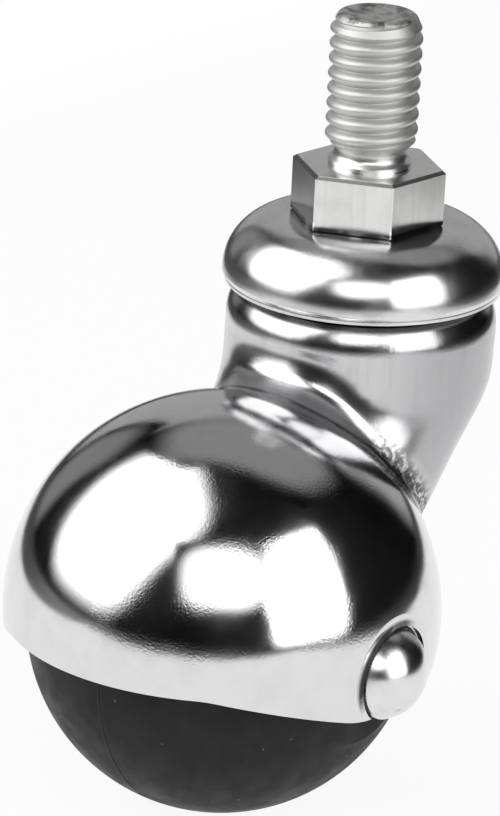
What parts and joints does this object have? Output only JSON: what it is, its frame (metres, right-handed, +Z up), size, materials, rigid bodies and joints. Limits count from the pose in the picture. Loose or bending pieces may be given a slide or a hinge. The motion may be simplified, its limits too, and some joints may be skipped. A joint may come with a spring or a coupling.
{
  "type": "ball castor",
  "caption": "Hooded ball castor: a solid ball on a cross axle under a domed chrome hood, swivelling on ball races under a cap with a hexagon and threaded stem.",
  "frame": {"origin": "centre of the hexagon's top seating face, on the swivel axis", "axes": "+Z up the threaded stem along the swivel axis, +X from the swivel axis towards the ball, +Y along the ball's axle towards the rivet's domed head"},
  "size_m": [0.0586, 0.0487, 0.0798],
  "materials": {
    "chrome": "polished",
    "plated_stem": "satin",
    "bearing_steel": "ground",
    "nylon": "matte",
    "rubber": "matte"
  },
  "bodies": {
    "stem": {"threaded_stem": "plated_stem", "swivel_cap": "chrome", "lower_race_cup": "bearing_steel", "retaining_ring": "bearing_steel"},
    "upper_balls": {"upper_bearing_balls": "bearing_steel"},
    "lower_balls": {"lower_bearing_balls": "bearing_steel"},
    "hood": {"hood": "chrome", "axle_rivet": "chrome", "axle_washer_front": "nylon", "axle_washer_rear": "nylon"},
    "wheel": {"ball_wheel": "rubber", "wheel_bush": "nylon"}
  },
  "joints": [
    {"name": "swivel", "type": "hinge", "parent": "stem", "child": "hood", "pos_m": [0, 0, 0], "axis": [0, 0, 1], "continuous": true},
    {"name": "wheel_spin", "type": "hinge", "parent": "hood", "child": "wheel", "pos_m": [0.0216, 0, -0.0439], "axis": [0, 1, 0], "continuous": true},
    {"name": "upper_ball_orbit", "type": "hinge", "parent": "stem", "child": "upper_balls", "pos_m": [0, 0, 0], "axis": [0, 0, 1], "continuous": true},
    {"name": "lower_ball_orbit", "type": "hinge", "parent": "stem", "child": "lower_balls", "pos_m": [0, 0, 0], "axis": [0, 0, 1], "continuous": true}
  ],
  "couplings": [
    {"joint": "upper_ball_orbit", "follows": "swivel", "ratio": 0.5},
    {"joint": "lower_ball_orbit", "follows": "swivel", "ratio": 0.5}
  ]
}
